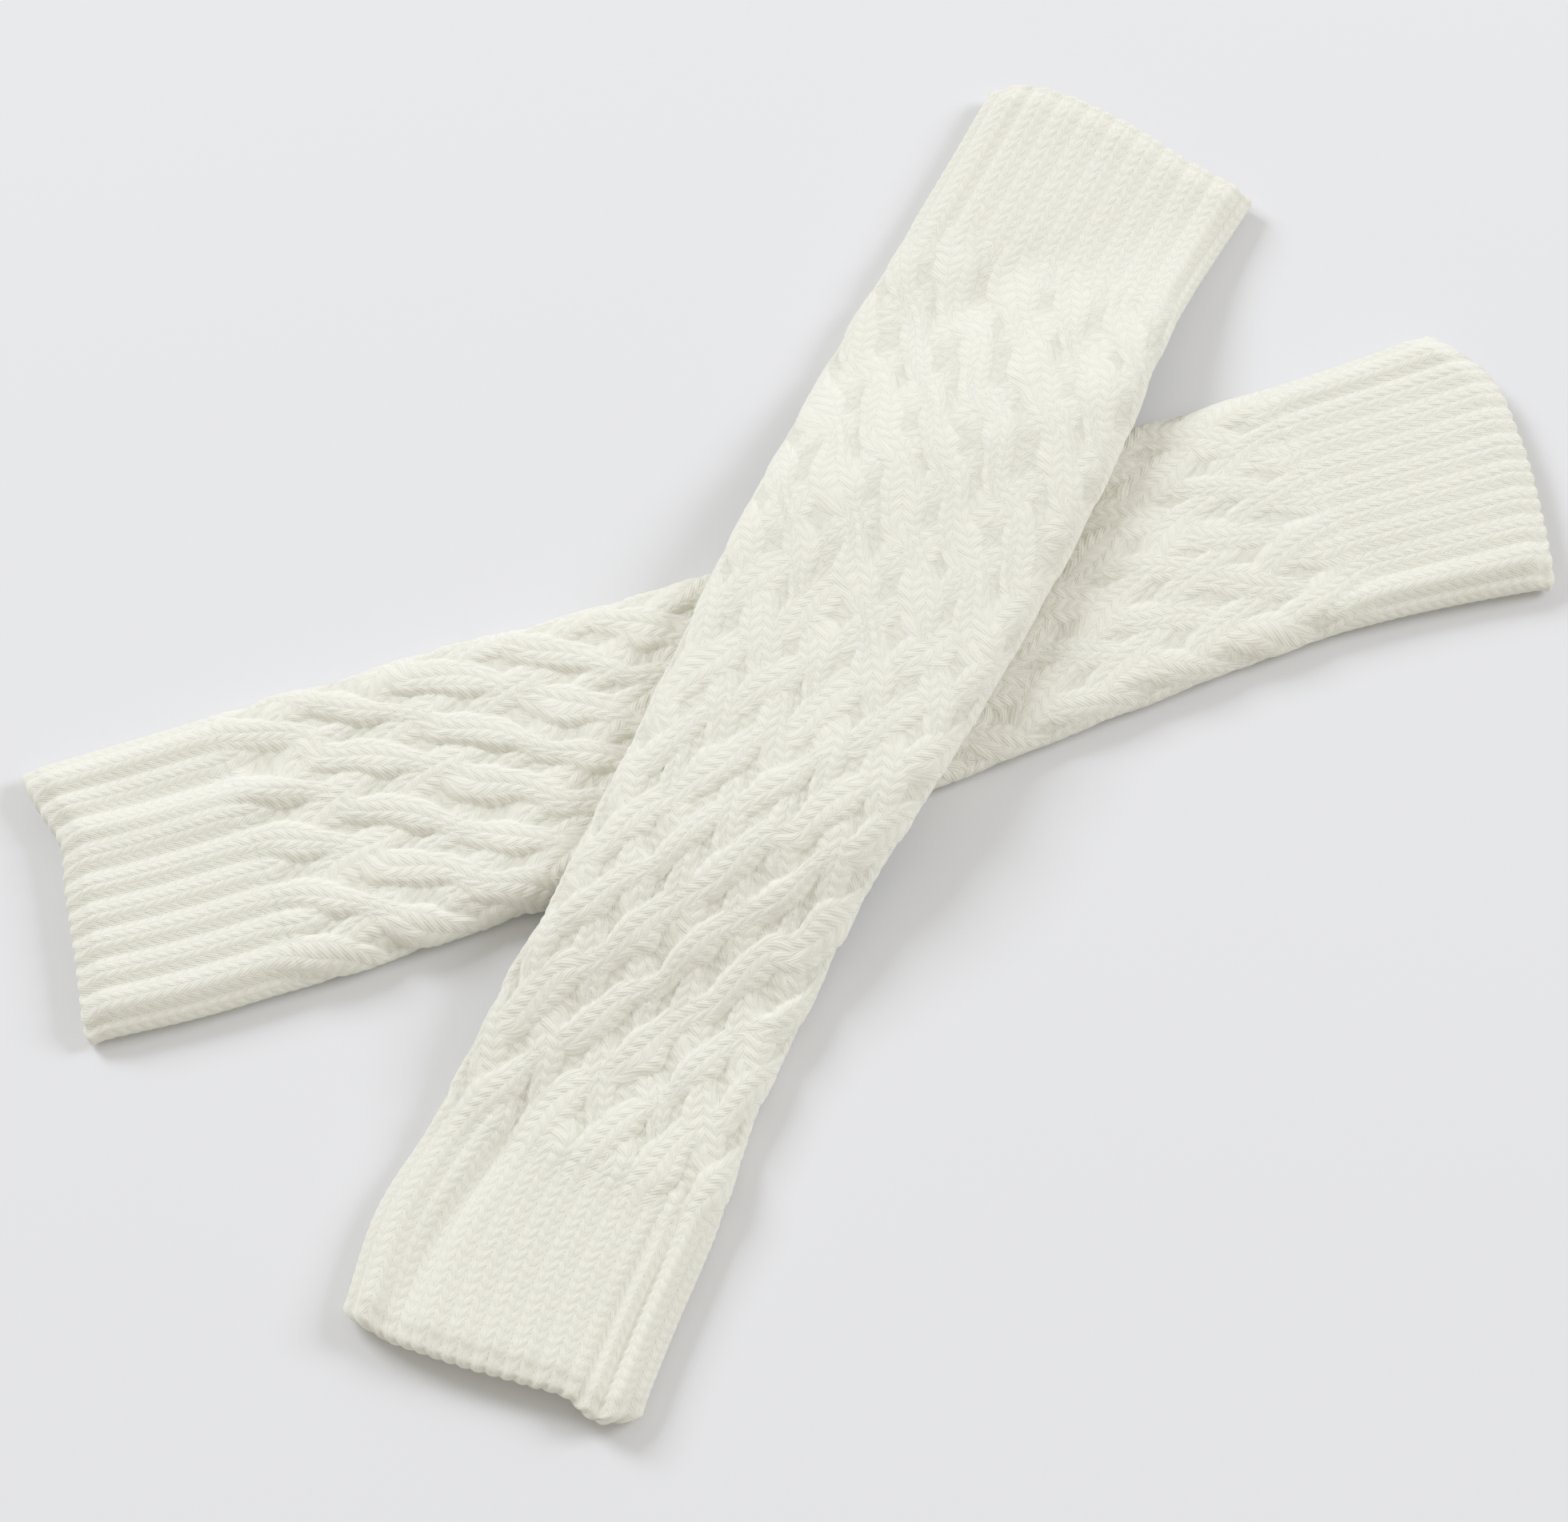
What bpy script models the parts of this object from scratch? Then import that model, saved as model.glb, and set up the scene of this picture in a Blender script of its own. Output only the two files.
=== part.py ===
"""A pair of cable-knit leg warmers, lying flat and crossed on a surface.

Each leg warmer is one knitted tube pressed flat: a ribbed cuff, a leg of woven cables and a second
ribbed cuff, each a hollow wall of its own, open at both ends. The ribs and cables are raised on the
outside of the wall, and the inside is plain. The underside is plain and flat where it rests. The
second leg warmer climbs over the first and comes down to the surface on both sides of it.

Metres, +Z up. +X is the right-hand side and +Y points away from the viewer. The origin is at the
middle of the pair, on the surface that it lies on.
"""
from collections import namedtuple
import math

import bpy
import numpy as np

MM = 0.001

# Tube, pressed flat
WALL = 3.0 * MM  # knit between the raised ribs and strands
PANEL_GAP = 2.6 * MM  # space between the lower and upper panel inside the leg
MOUTH_GAP = 3.3 * MM  # the same space at the open ends, which gape a little
MOUTH_REACH = 30 * MM  # length over which the mouth closes to the leg's gap
FOLD_REACH = 7.0 * MM  # how far each rounded side fold reaches in from the edge
CROWN = 0.1  # share by which the middle of the upper panel stands higher than its sides
SEAM_GAP = 0.3 * MM  # between a cuff and the leg
REST_GAP = 0.3 * MM  # between the crossing leg warmers

# Raised knit
RIBS = 20  # ribs round a cuff, each of which runs on into one cable strand
RIB_HEIGHT = 1.0 * MM
RIB_FLATNESS = 0.55  # below 1 the ribs are broad with narrow valleys
STRAND_CROWN = 1.7 * MM  # roundness of one cable strand
STRAND_SWING = 0.5 * MM  # how far a strand rises over and dips under at its crossings
STRAND_SPREAD = 1.1  # strand width between crossings, in ribs
CROSSING_SPREAD = 0.46  # how much wider a strand lies at a crossing, in ribs
CABLE_ROW = 14 * MM  # from one row of crossings to the next, about
CROSSING_HASTE = 0.45  # how much steeper a strand runs at its crossings than between them
CABLE_FADE = 7 * MM  # length over which ribs turn into cables at a seam
CREASE_FADE = 0.3  # share of a crease's length over which each of its ends dies away
RELIEF_FLOOR_TURN = 0.22  # share of a side fold, from below, that stays plain
RELIEF_FULL_TURN = 0.5  # share of a side fold from which the relief is full

# Mesh steps
STEPS_PER_RIB = 4
STEPS_PER_ROW = 3
RELIEF_RIBS = 10  # ribs with raised points, on the upper panel and round the folds
PLAIN_STEPS = (-3.2, -1.6, 0.0, 1.6, 3.2)  # plain points of the underside, in ribs from its middle
TURN_STEPS = (4.1, 4.55)  # points on the lower half of a side fold, in ribs from the same middle
INNER_POINTS = 18
CUFF_STEP = 12.0 * MM
LEG_STEP = CABLE_ROW / STEPS_PER_ROW
INNER_STEP = 20.0 * MM

# How the upper leg warmer bridges the lower one
BRIDGE_FALL = 62 * MM  # distance from the lower one's edge to where the upper one reaches the surface

KNIT_COLOUR = (0.82, 0.80, 0.70, 1.0)
KNIT_ROUGHNESS = 0.9

# along: place on the leg warmer's axis; centre: sideways shift of the middle; width: across, without relief
Station = namedtuple("Station", "along centre width")
# across: -1 at the right-hand fold to 1 at the left-hand one; out: how far the knitted edge stands out
Edge = namedtuple("Edge", "across out")
# a soft ridge (height over 0) or trough (under 0) from one end to the other, on the upper panel
Crease = namedtuple("Crease", "start end across_start across_end spread height")

LegWarmer = namedtuple(
    "LegWarmer",
    "name centre turn near_cuff near_seam far_seam far_cuff stations near_edge far_edge creases bridges",
)

UNDER = LegWarmer(
    name="under",
    centre=(-0.9 * MM, 11.8 * MM),
    turn=math.radians(19.8),
    near_cuff="left_cuff",
    near_seam=-154 * MM,
    far_seam=155 * MM,
    far_cuff="right_cuff",
    stations=(
        Station(-210 * MM, 1.5 * MM, 81 * MM),
        Station(-182 * MM, 0.0 * MM, 84 * MM),
        Station(-145 * MM, -0.6 * MM, 84 * MM),
        Station(-84 * MM, -1.0 * MM, 82 * MM),
        Station(-24 * MM, -2.5 * MM, 81 * MM),
        Station(25 * MM, -2.0 * MM, 83 * MM),
        Station(68 * MM, 0.5 * MM, 82 * MM),
        Station(117 * MM, 3.2 * MM, 80 * MM),
        Station(155 * MM, 3.2 * MM, 78 * MM),
        Station(210 * MM, 1.0 * MM, 85 * MM),
    ),
    near_edge=(
        Edge(-1.0, 4.0 * MM),
        Edge(-0.5, 0.0 * MM),
        Edge(0.1, -4.0 * MM),
        Edge(0.4, -6.5 * MM),
        Edge(0.7, -4.0 * MM),
        Edge(1.0, -2.0 * MM),
    ),
    far_edge=(
        Edge(-1.0, 0.0 * MM),
        Edge(-0.5, 5.0 * MM),
        Edge(0.1, 9.0 * MM),
        Edge(0.6, 8.5 * MM),
        Edge(1.0, -1.0 * MM),
    ),
    creases=(
        Crease(-245 * MM, -115 * MM, 0.40, 0.26, 4.5 * MM, 1.4 * MM),
        Crease(-204 * MM, -132 * MM, 0.60, 0.52, 5.5 * MM, -1.3 * MM),
        Crease(-150 * MM, -66 * MM, -0.12, -0.42, 6.0 * MM, -1.0 * MM),
        Crease(96 * MM, 200 * MM, -0.60, -0.72, 6.0 * MM, -0.9 * MM),
        Crease(70 * MM, 128 * MM, 0.52, 0.30, 7.0 * MM, -1.1 * MM),
    ),
    bridges=False,
)

OVER = LegWarmer(
    name="over",
    centre=(8.3 * MM, -3.6 * MM),
    turn=math.radians(65.4),
    near_cuff="lower_cuff",
    near_seam=-148 * MM,
    far_seam=158 * MM,
    far_cuff="upper_cuff",
    stations=(
        Station(-210 * MM, 1.0 * MM, 80 * MM),
        Station(-178 * MM, 4.6 * MM, 83 * MM),
        Station(-150 * MM, 4.2 * MM, 79 * MM),
        Station(-116 * MM, 5.8 * MM, 73 * MM),
        Station(-80 * MM, 5.6 * MM, 71 * MM),
        Station(-42 * MM, 5.2 * MM, 73 * MM),
        Station(-8 * MM, 3.8 * MM, 79 * MM),
        Station(55 * MM, 3.0 * MM, 86 * MM),
        Station(120 * MM, 3.6 * MM, 87 * MM),
        Station(162 * MM, 4.2 * MM, 81 * MM),
        Station(210 * MM, 2.0 * MM, 81 * MM),
    ),
    near_edge=(
        Edge(-1.0, -2.0 * MM),
        Edge(-0.85, 0.0 * MM),
        Edge(-0.7, -1.5 * MM),
        Edge(-0.5, -4.5 * MM),
        Edge(-0.3, -4.0 * MM),
        Edge(0.2, -2.0 * MM),
        Edge(0.7, -0.5 * MM),
        Edge(1.0, 0.0 * MM),
    ),
    far_edge=(
        Edge(-1.0, 0.0 * MM),
        Edge(-0.5, 3.0 * MM),
        Edge(0.0, 7.5 * MM),
        Edge(0.5, 9.5 * MM),
        Edge(0.8, 8.0 * MM),
        Edge(1.0, 3.5 * MM),
    ),
    creases=(
        Crease(-230 * MM, -125 * MM, 0.66, 0.52, 4.5 * MM, -1.5 * MM),
        Crease(-250 * MM, -132 * MM, -0.54, -0.60, 3.5 * MM, -1.8 * MM),
        Crease(-250 * MM, -140 * MM, -0.72, -0.76, 4.0 * MM, 1.0 * MM),
        Crease(-30 * MM, 46 * MM, -0.10, 0.34, 7.0 * MM, -1.0 * MM),
        Crease(92 * MM, 150 * MM, -0.20, -0.62, 7.0 * MM, -1.3 * MM),
        Crease(128 * MM, 172 * MM, 0.38, 0.06, 6.0 * MM, -1.0 * MM),
    ),
    bridges=True,
)


def smooth_step(value):
    """0 below 0, 1 above 1, and a soft S between."""
    value = np.clip(value, 0.0, 1.0)
    return value * value * (3.0 - 2.0 * value)


def smooth_curve(at, rows, across, value):
    """A soft curve through a table's rows: cubic between them, with each slope from its neighbours."""
    x = np.array([getattr(row, across) for row in rows])
    y = np.array([getattr(row, value) for row in rows])
    slope = np.gradient(y, x)
    at = np.clip(at, x[0], x[-1])
    left = np.clip(np.searchsorted(x, at, side="right") - 1, 0, len(x) - 2)
    span = x[left + 1] - x[left]
    t = (at - x[left]) / span
    return (
        y[left] * (1 + 2 * t) * (1 - t) ** 2
        + y[left + 1] * t * t * (3 - 2 * t)
        + slope[left] * span * t * (1 - t) ** 2
        + slope[left + 1] * span * t * t * (t - 1)
    )


def flat_tube(ribs, half_width, half_height, reach):
    """Points and outward normals round a flattened tube, by place in ribs from the underside's middle.

    The outline is a flat underside, a half ellipse at each side and a flat top. It gives the place
    across, the height, both parts of the normal and the turn of the side fold from 0 to 1.
    """
    flat = half_width - reach
    quarter = 0.25 * math.pi * (reach + half_height)
    side = np.where((ribs % RIBS) <= RIBS / 2, 1.0, -1.0)
    walked = np.minimum(ribs % RIBS, RIBS - ribs % RIBS) * (4 * flat + 4 * quarter) / RIBS
    turn = np.clip((walked - flat) / (2 * quarter), 0.0, 1.0)
    angle = math.pi * turn
    on_top = np.maximum(walked - flat - 2 * quarter, 0.0)
    across = np.minimum(walked, flat) - on_top + reach * np.sin(angle)
    height = half_height * (1 - np.cos(angle))
    normal_across = np.sin(angle) / reach
    normal_up = -np.cos(angle) / half_height
    length = np.hypot(normal_across, normal_up)
    return side * across, height, side * normal_across / length, normal_up / length, turn


def rib_relief(ribs):
    """Broad rounded ribs with narrow valleys between them."""
    wave = 0.5 + 0.5 * np.cos(2 * math.pi * ribs)
    return RIB_HEIGHT * wave**RIB_FLATNESS


def cable_relief(ribs, row):
    """Two families of strands that lean opposite ways and pass over and under each other in turn.

    A strand is a rounded ridge. It moves one rib sideways from one row of crossings to the next,
    and is widest at the crossings, highest where it passes over and lowest where it passes under.
    The relief is the higher of the two families at each place.
    """
    drift = row - CROSSING_HASTE * np.sin(2 * math.pi * row) / (2 * math.pi)
    half_spread = 0.5 * (STRAND_SPREAD + CROSSING_SPREAD * np.sin(math.pi * row) ** 2)
    relief = np.zeros(np.broadcast(ribs, row).shape)
    for lean in (1, -1):
        middle = lean * drift + 0.5 - 0.5 * lean
        off = ribs - middle
        strand = np.round(off / 2)
        off = off - 2 * strand
        crown = np.sqrt(np.clip(1 - (off / half_spread) ** 2, 0.0, 1.0))
        swing = 0.5 + 0.5 * lean * np.sin(math.pi * row)
        height = crown * STRAND_CROWN + np.minimum(crown * 2, 1.0) * 2 * STRAND_SWING * swing
        relief = np.maximum(relief, height)
    return relief


def knit_relief(warmer, ribs, along):
    """Ribs on the cuffs and cables on the leg, which run into each other at the seams.

    A whole number of cable rows fills the leg, so the ribs of both cuffs meet strands.
    """
    length = warmer.far_seam - warmer.near_seam
    row = (along - warmer.near_seam) * round(length / CABLE_ROW) / length
    inside = np.minimum(along - warmer.near_seam, warmer.far_seam - along)
    cabled = smooth_step(inside / CABLE_FADE)
    return rib_relief(ribs) * (1 - cabled) + cable_relief(ribs, row) * cabled


def crease_height(warmer, along, across):
    """Sum of the creases: each is a soft bell across its line that fades out at both of its ends."""
    half_width = 0.5 * smooth_curve(along, warmer.stations, "along", "width")
    total = np.zeros(np.broadcast(along, across).shape)
    for crease in warmer.creases:
        share = (along - crease.start) / (crease.end - crease.start)
        line = crease.across_start + (crease.across_end - crease.across_start) * share
        bell = np.exp(-(((across - line * half_width) / crease.spread) ** 2))
        fade = smooth_step(share / CREASE_FADE) * smooth_step((1 - share) / CREASE_FADE)
        total = total + crease.height * bell * fade
    return total


def half_height_at(warmer, along):
    """Half the height of the flattened tube, a little more at the mouths, which gape."""
    from_mouth = np.minimum(along - warmer.stations[0].along, warmer.stations[-1].along - along)
    gape = 1 - smooth_step(from_mouth / MOUTH_REACH)
    return WALL + 0.5 * (PANEL_GAP + (MOUTH_GAP - PANEL_GAP) * gape)


def pile_height():
    """Height of a leg warmer that lies on the surface, up to the crowns of its strands."""
    tube = 2 * WALL + PANEL_GAP
    return tube * (1 + CROWN) + STRAND_CROWN + 2 * STRAND_SWING


def bridge_lift(x, y):
    """How far the upper leg warmer is lifted at a place, by its distance from the lower one's edge."""
    sine, cosine = math.sin(UNDER.turn), math.cos(UNDER.turn)
    along = (x - UNDER.centre[0]) * cosine + (y - UNDER.centre[1]) * sine
    across = (y - UNDER.centre[1]) * cosine - (x - UNDER.centre[0]) * sine
    middle = smooth_curve(along, UNDER.stations, "along", "centre")
    width = smooth_curve(along, UNDER.stations, "along", "width")
    beyond = np.abs(across - middle) - 0.5 * width
    return (pile_height() + REST_GAP) * smooth_step(1 - beyond / BRIDGE_FALL)


def place(warmer, along, across, height):
    """World points of places on a leg warmer, with its edges drawn out and its bridge lifted."""
    half_width = 0.5 * smooth_curve(along, warmer.stations, "along", "width")
    share = across / half_width
    near = smooth_step((warmer.near_seam - along) / (warmer.near_seam - warmer.stations[0].along))
    far = smooth_step((along - warmer.far_seam) / (warmer.stations[-1].along - warmer.far_seam))
    drawn = along - near * smooth_curve(share, warmer.near_edge, "across", "out")
    drawn = drawn + far * smooth_curve(share, warmer.far_edge, "across", "out")
    sideways = across + smooth_curve(along, warmer.stations, "along", "centre")
    sine, cosine = math.sin(warmer.turn), math.cos(warmer.turn)
    x = warmer.centre[0] + drawn * cosine - sideways * sine
    y = warmer.centre[1] + drawn * sine + sideways * cosine
    z = height + bridge_lift(x, y) if warmer.bridges else height
    return np.stack([x, y, z], axis=-1)


def outer_points(warmer, ribs, along):
    """Points of the outside, a row for each place along and a column for each place round."""
    ribs, along = np.meshgrid(ribs, along)
    half_width = 0.5 * smooth_curve(along, warmer.stations, "along", "width")
    half_height = half_height_at(warmer, along)
    across, height, out_across, out_up, turn = flat_tube(ribs, half_width, half_height, FOLD_REACH)
    height = height * (1 + CROWN * (1 - (across / half_width) ** 2))
    height = height + crease_height(warmer, along, across) * smooth_step(2 * turn - 1)
    shown = smooth_step((turn - RELIEF_FLOOR_TURN) / (RELIEF_FULL_TURN - RELIEF_FLOOR_TURN))
    relief = knit_relief(warmer, ribs, along) * shown
    return place(warmer, along, across + relief * out_across, height + relief * out_up)


def inner_points(warmer, ribs, along):
    """Points of the plain inside, one wall in from the outside."""
    ribs, along = np.meshgrid(ribs, along)
    half_width = 0.5 * smooth_curve(along, warmer.stations, "along", "width")
    half_height = half_height_at(warmer, along) - WALL
    reach = FOLD_REACH - WALL
    across, height, _, _, turn = flat_tube(ribs, half_width - WALL, half_height, reach)
    height = (height + WALL) * (1 + CROWN * (1 - (across / half_width) ** 2))
    troughs = np.minimum(crease_height(warmer, along, across), 0.0)
    return place(warmer, along, across, height + troughs * smooth_step(2 * turn - 1))


def grid_faces(rows, columns, first, outwards):
    """Quads of a closed tube of points, a ring for each row."""
    faces = []
    for row in range(rows - 1):
        for column in range(columns):
            right = (column + 1) % columns
            a = first + row * columns + column
            b = first + row * columns + right
            quad = (a, b, b + columns, a + columns)
            faces.append(quad if outwards else quad[::-1])
    return faces


def rim_faces(outer_first, outer_ribs, inner_first, inner_ribs, outwards):
    """Triangles between an outer and an inner ring, stepping on whichever ring lags behind."""
    faces = []
    outer_count, inner_count = len(outer_ribs), len(inner_ribs)
    outer_turns = np.append(outer_ribs, outer_ribs[0] + RIBS)
    inner_turns = np.append(inner_ribs, inner_ribs[0] + RIBS)
    i = j = 0
    while i < outer_count or j < inner_count:
        a = outer_first + i % outer_count
        b = inner_first + j % inner_count
        step_outer = j == inner_count or (i < outer_count and outer_turns[i + 1] <= inner_turns[j + 1])
        if step_outer:
            i += 1
            triangle = (a, outer_first + i % outer_count, b)
        else:
            j += 1
            triangle = (a, inner_first + j % inner_count, b)
        faces.append(triangle if outwards else triangle[::-1])
    return faces


def even_places(start, end, step):
    """Places from start to end, as near to the step as fits."""
    return np.linspace(start, end, max(2, round((end - start) / step) + 1))


def ring_places():
    """Places round the outside, in ribs: close on the raised part, sparse on the underside."""
    half = RELIEF_RIBS / 2
    raised = np.linspace(RIBS / 2 - half, RIBS / 2 + half, RELIEF_RIBS * STEPS_PER_RIB + 1)
    right = [RIBS - turn for turn in reversed(TURN_STEPS)]
    plain = [RIBS + step for step in PLAIN_STEPS]
    left = [RIBS + turn for turn in TURN_STEPS]
    return np.concatenate([raised, right, plain, left])


def knit_material(name):
    """Matt ivory yarn."""
    material = bpy.data.materials.new(name)
    material.use_nodes = True
    shader = material.node_tree.nodes["Principled BSDF"]
    shader.inputs["Base Color"].default_value = KNIT_COLOUR
    shader.inputs["Roughness"].default_value = KNIT_ROUGHNESS
    shader.inputs["Metallic"].default_value = 0.0
    return material


def knit_tube(warmer, name, start, end, step):
    """One hollow piece of a leg warmer, from start to end along it, as a named object."""
    outer_ribs = ring_places()
    inner_ribs = RIBS / 2 - RELIEF_RIBS / 2 + np.arange(INNER_POINTS) * RIBS / INNER_POINTS
    outer_along = even_places(start, end, step)
    inner_along = even_places(start, end, INNER_STEP)
    outer = outer_points(warmer, outer_ribs, outer_along).reshape(-1, 3)
    inner = inner_points(warmer, inner_ribs, inner_along).reshape(-1, 3)
    last_outer = len(outer) - len(outer_ribs)
    last_inner = len(outer) + len(inner) - len(inner_ribs)
    faces = grid_faces(len(outer_along), len(outer_ribs), 0, True)
    faces += grid_faces(len(inner_along), len(inner_ribs), len(outer), False)
    faces += rim_faces(0, outer_ribs, len(outer), inner_ribs, False)
    faces += rim_faces(last_outer, outer_ribs, last_inner, inner_ribs, True)
    mesh = bpy.data.meshes.new(name)
    mesh.from_pydata(np.concatenate([outer, inner]).tolist(), [], faces)
    mesh.shade_smooth()
    mesh.set_sharp_from_angle(angle=math.radians(50))
    mesh.materials.append(knit_material(name + "_yarn"))
    piece = bpy.data.objects.new(name, mesh)
    bpy.context.collection.objects.link(piece)
    return piece


def build_leg_warmer(warmer):
    """Both cuffs and the leg of one leg warmer, under one empty."""
    holder = bpy.data.objects.new(warmer.name + "_leg_warmer", None)
    bpy.context.collection.objects.link(holder)
    half_gap = 0.5 * SEAM_GAP
    near_end, far_end = warmer.stations[0].along, warmer.stations[-1].along
    spans = (
        (warmer.near_cuff, near_end, warmer.near_seam - half_gap, CUFF_STEP),
        ("cable_leg", warmer.near_seam + half_gap, warmer.far_seam - half_gap, LEG_STEP),
        (warmer.far_cuff, warmer.far_seam + half_gap, far_end, CUFF_STEP),
    )
    for label, start, end, step in spans:
        piece = knit_tube(warmer, warmer.name + "_" + label, start, end, step)
        piece.parent = holder


def main():
    """Clears the scene and builds both leg warmers."""
    for old in list(bpy.data.objects):
        bpy.data.objects.remove(old, do_unlink=True)
    for warmer in (UNDER, OVER):
        build_leg_warmer(warmer)


main()
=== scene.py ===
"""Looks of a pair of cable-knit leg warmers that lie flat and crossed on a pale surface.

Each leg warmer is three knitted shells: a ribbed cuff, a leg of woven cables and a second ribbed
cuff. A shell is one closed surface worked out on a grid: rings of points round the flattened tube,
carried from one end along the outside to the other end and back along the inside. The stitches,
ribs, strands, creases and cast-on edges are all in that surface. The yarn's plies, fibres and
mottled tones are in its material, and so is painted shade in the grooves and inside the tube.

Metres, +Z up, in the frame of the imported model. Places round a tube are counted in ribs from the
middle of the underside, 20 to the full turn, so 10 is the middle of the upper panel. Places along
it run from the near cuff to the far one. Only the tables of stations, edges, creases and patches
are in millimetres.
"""

import logging
import math
from dataclasses import dataclass, field
from enum import Enum

import bpy
import numpy as np
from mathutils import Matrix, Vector

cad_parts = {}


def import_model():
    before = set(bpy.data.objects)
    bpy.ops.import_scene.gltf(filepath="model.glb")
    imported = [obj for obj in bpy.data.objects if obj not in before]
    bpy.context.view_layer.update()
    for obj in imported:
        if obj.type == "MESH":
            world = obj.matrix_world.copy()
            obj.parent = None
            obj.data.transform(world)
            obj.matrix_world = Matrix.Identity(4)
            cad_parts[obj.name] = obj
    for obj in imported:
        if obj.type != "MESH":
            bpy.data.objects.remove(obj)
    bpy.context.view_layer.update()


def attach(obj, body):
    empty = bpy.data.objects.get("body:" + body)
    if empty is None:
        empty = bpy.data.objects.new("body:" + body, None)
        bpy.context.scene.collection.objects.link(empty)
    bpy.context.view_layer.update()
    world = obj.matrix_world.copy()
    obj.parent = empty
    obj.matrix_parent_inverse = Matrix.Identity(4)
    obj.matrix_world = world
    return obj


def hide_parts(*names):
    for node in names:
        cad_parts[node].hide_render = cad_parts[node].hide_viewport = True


MM = 0.001
RIBS = 20
# wales between the map places of neighbouring strands, and of the two families
STRAND_STEP = 8
FAMILY_STEP = 40
LOG = logging.getLogger("leg_warmers")


class Lean(Enum):
    """Which way the wales of a patch of knit run, seen from the outside."""

    RIGHT = 1
    LEFT = -1
    STRAIGHT = 0


class End(Enum):
    """How a knitted shell ends."""

    CAST_ON = "open mouth with a rounded cast-on edge"
    JOINED = "cut square where the knitting runs on into the next shell"


class Wandering(Enum):
    """What wanders in hand-guided knitting, each with a start of its own so none run in step."""

    STRANDS = 0.0
    ROWS = 1.3
    FAVOUR = 2.0
    LOFT = 4.0


# the wandering's waves: crests in a turn of the tube, length along it and start, and their peak
WAVES = ((3, 91 * MM, 0.3), (-5, 57 * MM, 1.9), (8, 43 * MM, 4.1), (-9, 131 * MM, 2.6))
WAVES_PEAK = 2.2


@dataclass(frozen=True)
class Station:
    """A place on a leg warmer's axis, how far its middle lies to the side and its width, in mm."""

    along: float
    centre: float
    width: float


@dataclass(frozen=True)
class EdgePoint:
    """How far a cuff's edge stands out, in mm, at a place across from -1, right, to 1, left."""

    across: float
    out: float


@dataclass(frozen=True)
class Crease:
    """A soft ridge, or trough if its height is under 0, on the upper panel.

    Its ends, spread and height are in millimetres, its places across in half widths.
    """

    start: float
    end: float
    across_start: float
    across_end: float
    spread: float
    height: float


def hex_to_linear(code: str) -> tuple[float, float, float, float]:
    """Turns an sRGB hex colour into linear light.

    Args:
        code: Six hex digits, with or without a leading hash.

    Returns:
        Red, green and blue from 0 to 1, and an alpha of 1.
    """
    digits = code.lstrip("#")
    levels = [int(digits[i : i + 2], 16) / 255 for i in (0, 2, 4)]
    linear = [v / 12.92 if v <= 0.04045 else ((v + 0.055) / 1.055) ** 2.4 for v in levels]
    return linear[0], linear[1], linear[2], 1.0


def add_node(
    tree: bpy.types.NodeTree,
    kind: str,
    settings: dict[str, object] | None = None,
    links: dict[str | int, bpy.types.NodeSocket] | None = None,
) -> bpy.types.Node:
    """Adds one shader node with its settings and incoming links.

    Args:
        tree: The node tree that the node joins.
        kind: The node's type, such as "ShaderNodeTexNoise".
        settings: Values by name. A name of one of the node's own properties sets that property, any
            other name, or a number, sets an input socket's default.
        links: Outgoing sockets by the name or number of the input that each feeds.

    Returns:
        The new node.
    """
    node = tree.nodes.new(kind)
    for key, value in (settings or {}).items():
        if isinstance(key, str) and key in node.bl_rna.properties:
            setattr(node, key, value)
        else:
            node.inputs[key].default_value = value
    for key, socket in (links or {}).items():
        tree.links.new(socket, node.inputs[key])
    return node


def smooth_step(value: np.ndarray) -> np.ndarray:
    """0 below 0, 1 above 1, and the S-curve 3t^2 - 2t^3 between."""
    value = np.clip(value, 0.0, 1.0)
    return value * value * (3.0 - 2.0 * value)


def smooth_curve(at: np.ndarray, places: list[float], values: list[float]) -> np.ndarray:
    """A soft curve through a table: cubic Hermite spans, each slope taken from the neighbours.

    Args:
        at: Where the curve is read.
        places: The table's places, rising.
        values: The table's values at those places.

    Returns:
        The curve's value at each place of ``at``, held constant beyond the table's ends.
    """
    x = np.array(places)
    y = np.array(values)
    slope = np.gradient(y, x)
    at = np.clip(at, x[0], x[-1])
    left = np.clip(np.searchsorted(x, at, side="right") - 1, 0, len(x) - 2)
    span = x[left + 1] - x[left]
    t = (at - x[left]) / span
    return (
        y[left] * (1 + 2 * t) * (1 - t) ** 2
        + y[left + 1] * t * t * (3 - 2 * t)
        + slope[left] * span * t * (1 - t) ** 2
        + slope[left + 1] * span * t * t * (t - 1)
    )


def unevenness(ribs: np.ndarray, along: np.ndarray, phase: float) -> np.ndarray:
    """Slow, even-handed wandering between about -1 and 1, as hand-guided knitting has.

    The sum of four plane waves of different lengths and directions, over its usual peak.

    Args:
        ribs: Places round the tube, in ribs.
        along: Places along the tube, in metres.
        phase: A number that makes one wandering differ from another.

    Returns:
        The wandering at each place.
    """
    turn = 2 * math.pi * ribs / RIBS
    total = np.zeros(np.broadcast(ribs, along).shape)
    for crests, length, start in WAVES:
        total = total + np.sin(crests * turn + 2 * math.pi * along / length + start + phase)
    return total / WAVES_PEAK


def edge_curve(edge: tuple[EdgePoint, ...], share: np.ndarray) -> np.ndarray:
    """How far a cuff's edge stands out at places across it, from -1, right, to 1, left."""
    return smooth_curve(share, [point.across for point in edge], [point.out * MM for point in edge])


def mix(cuff: np.ndarray, leg: np.ndarray, cabled: np.ndarray) -> np.ndarray:
    """A value of the ribbing turning into a value of the cables as ``cabled`` goes from 0 to 1."""
    return leg * cabled + cuff * (1 - cabled)


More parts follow.
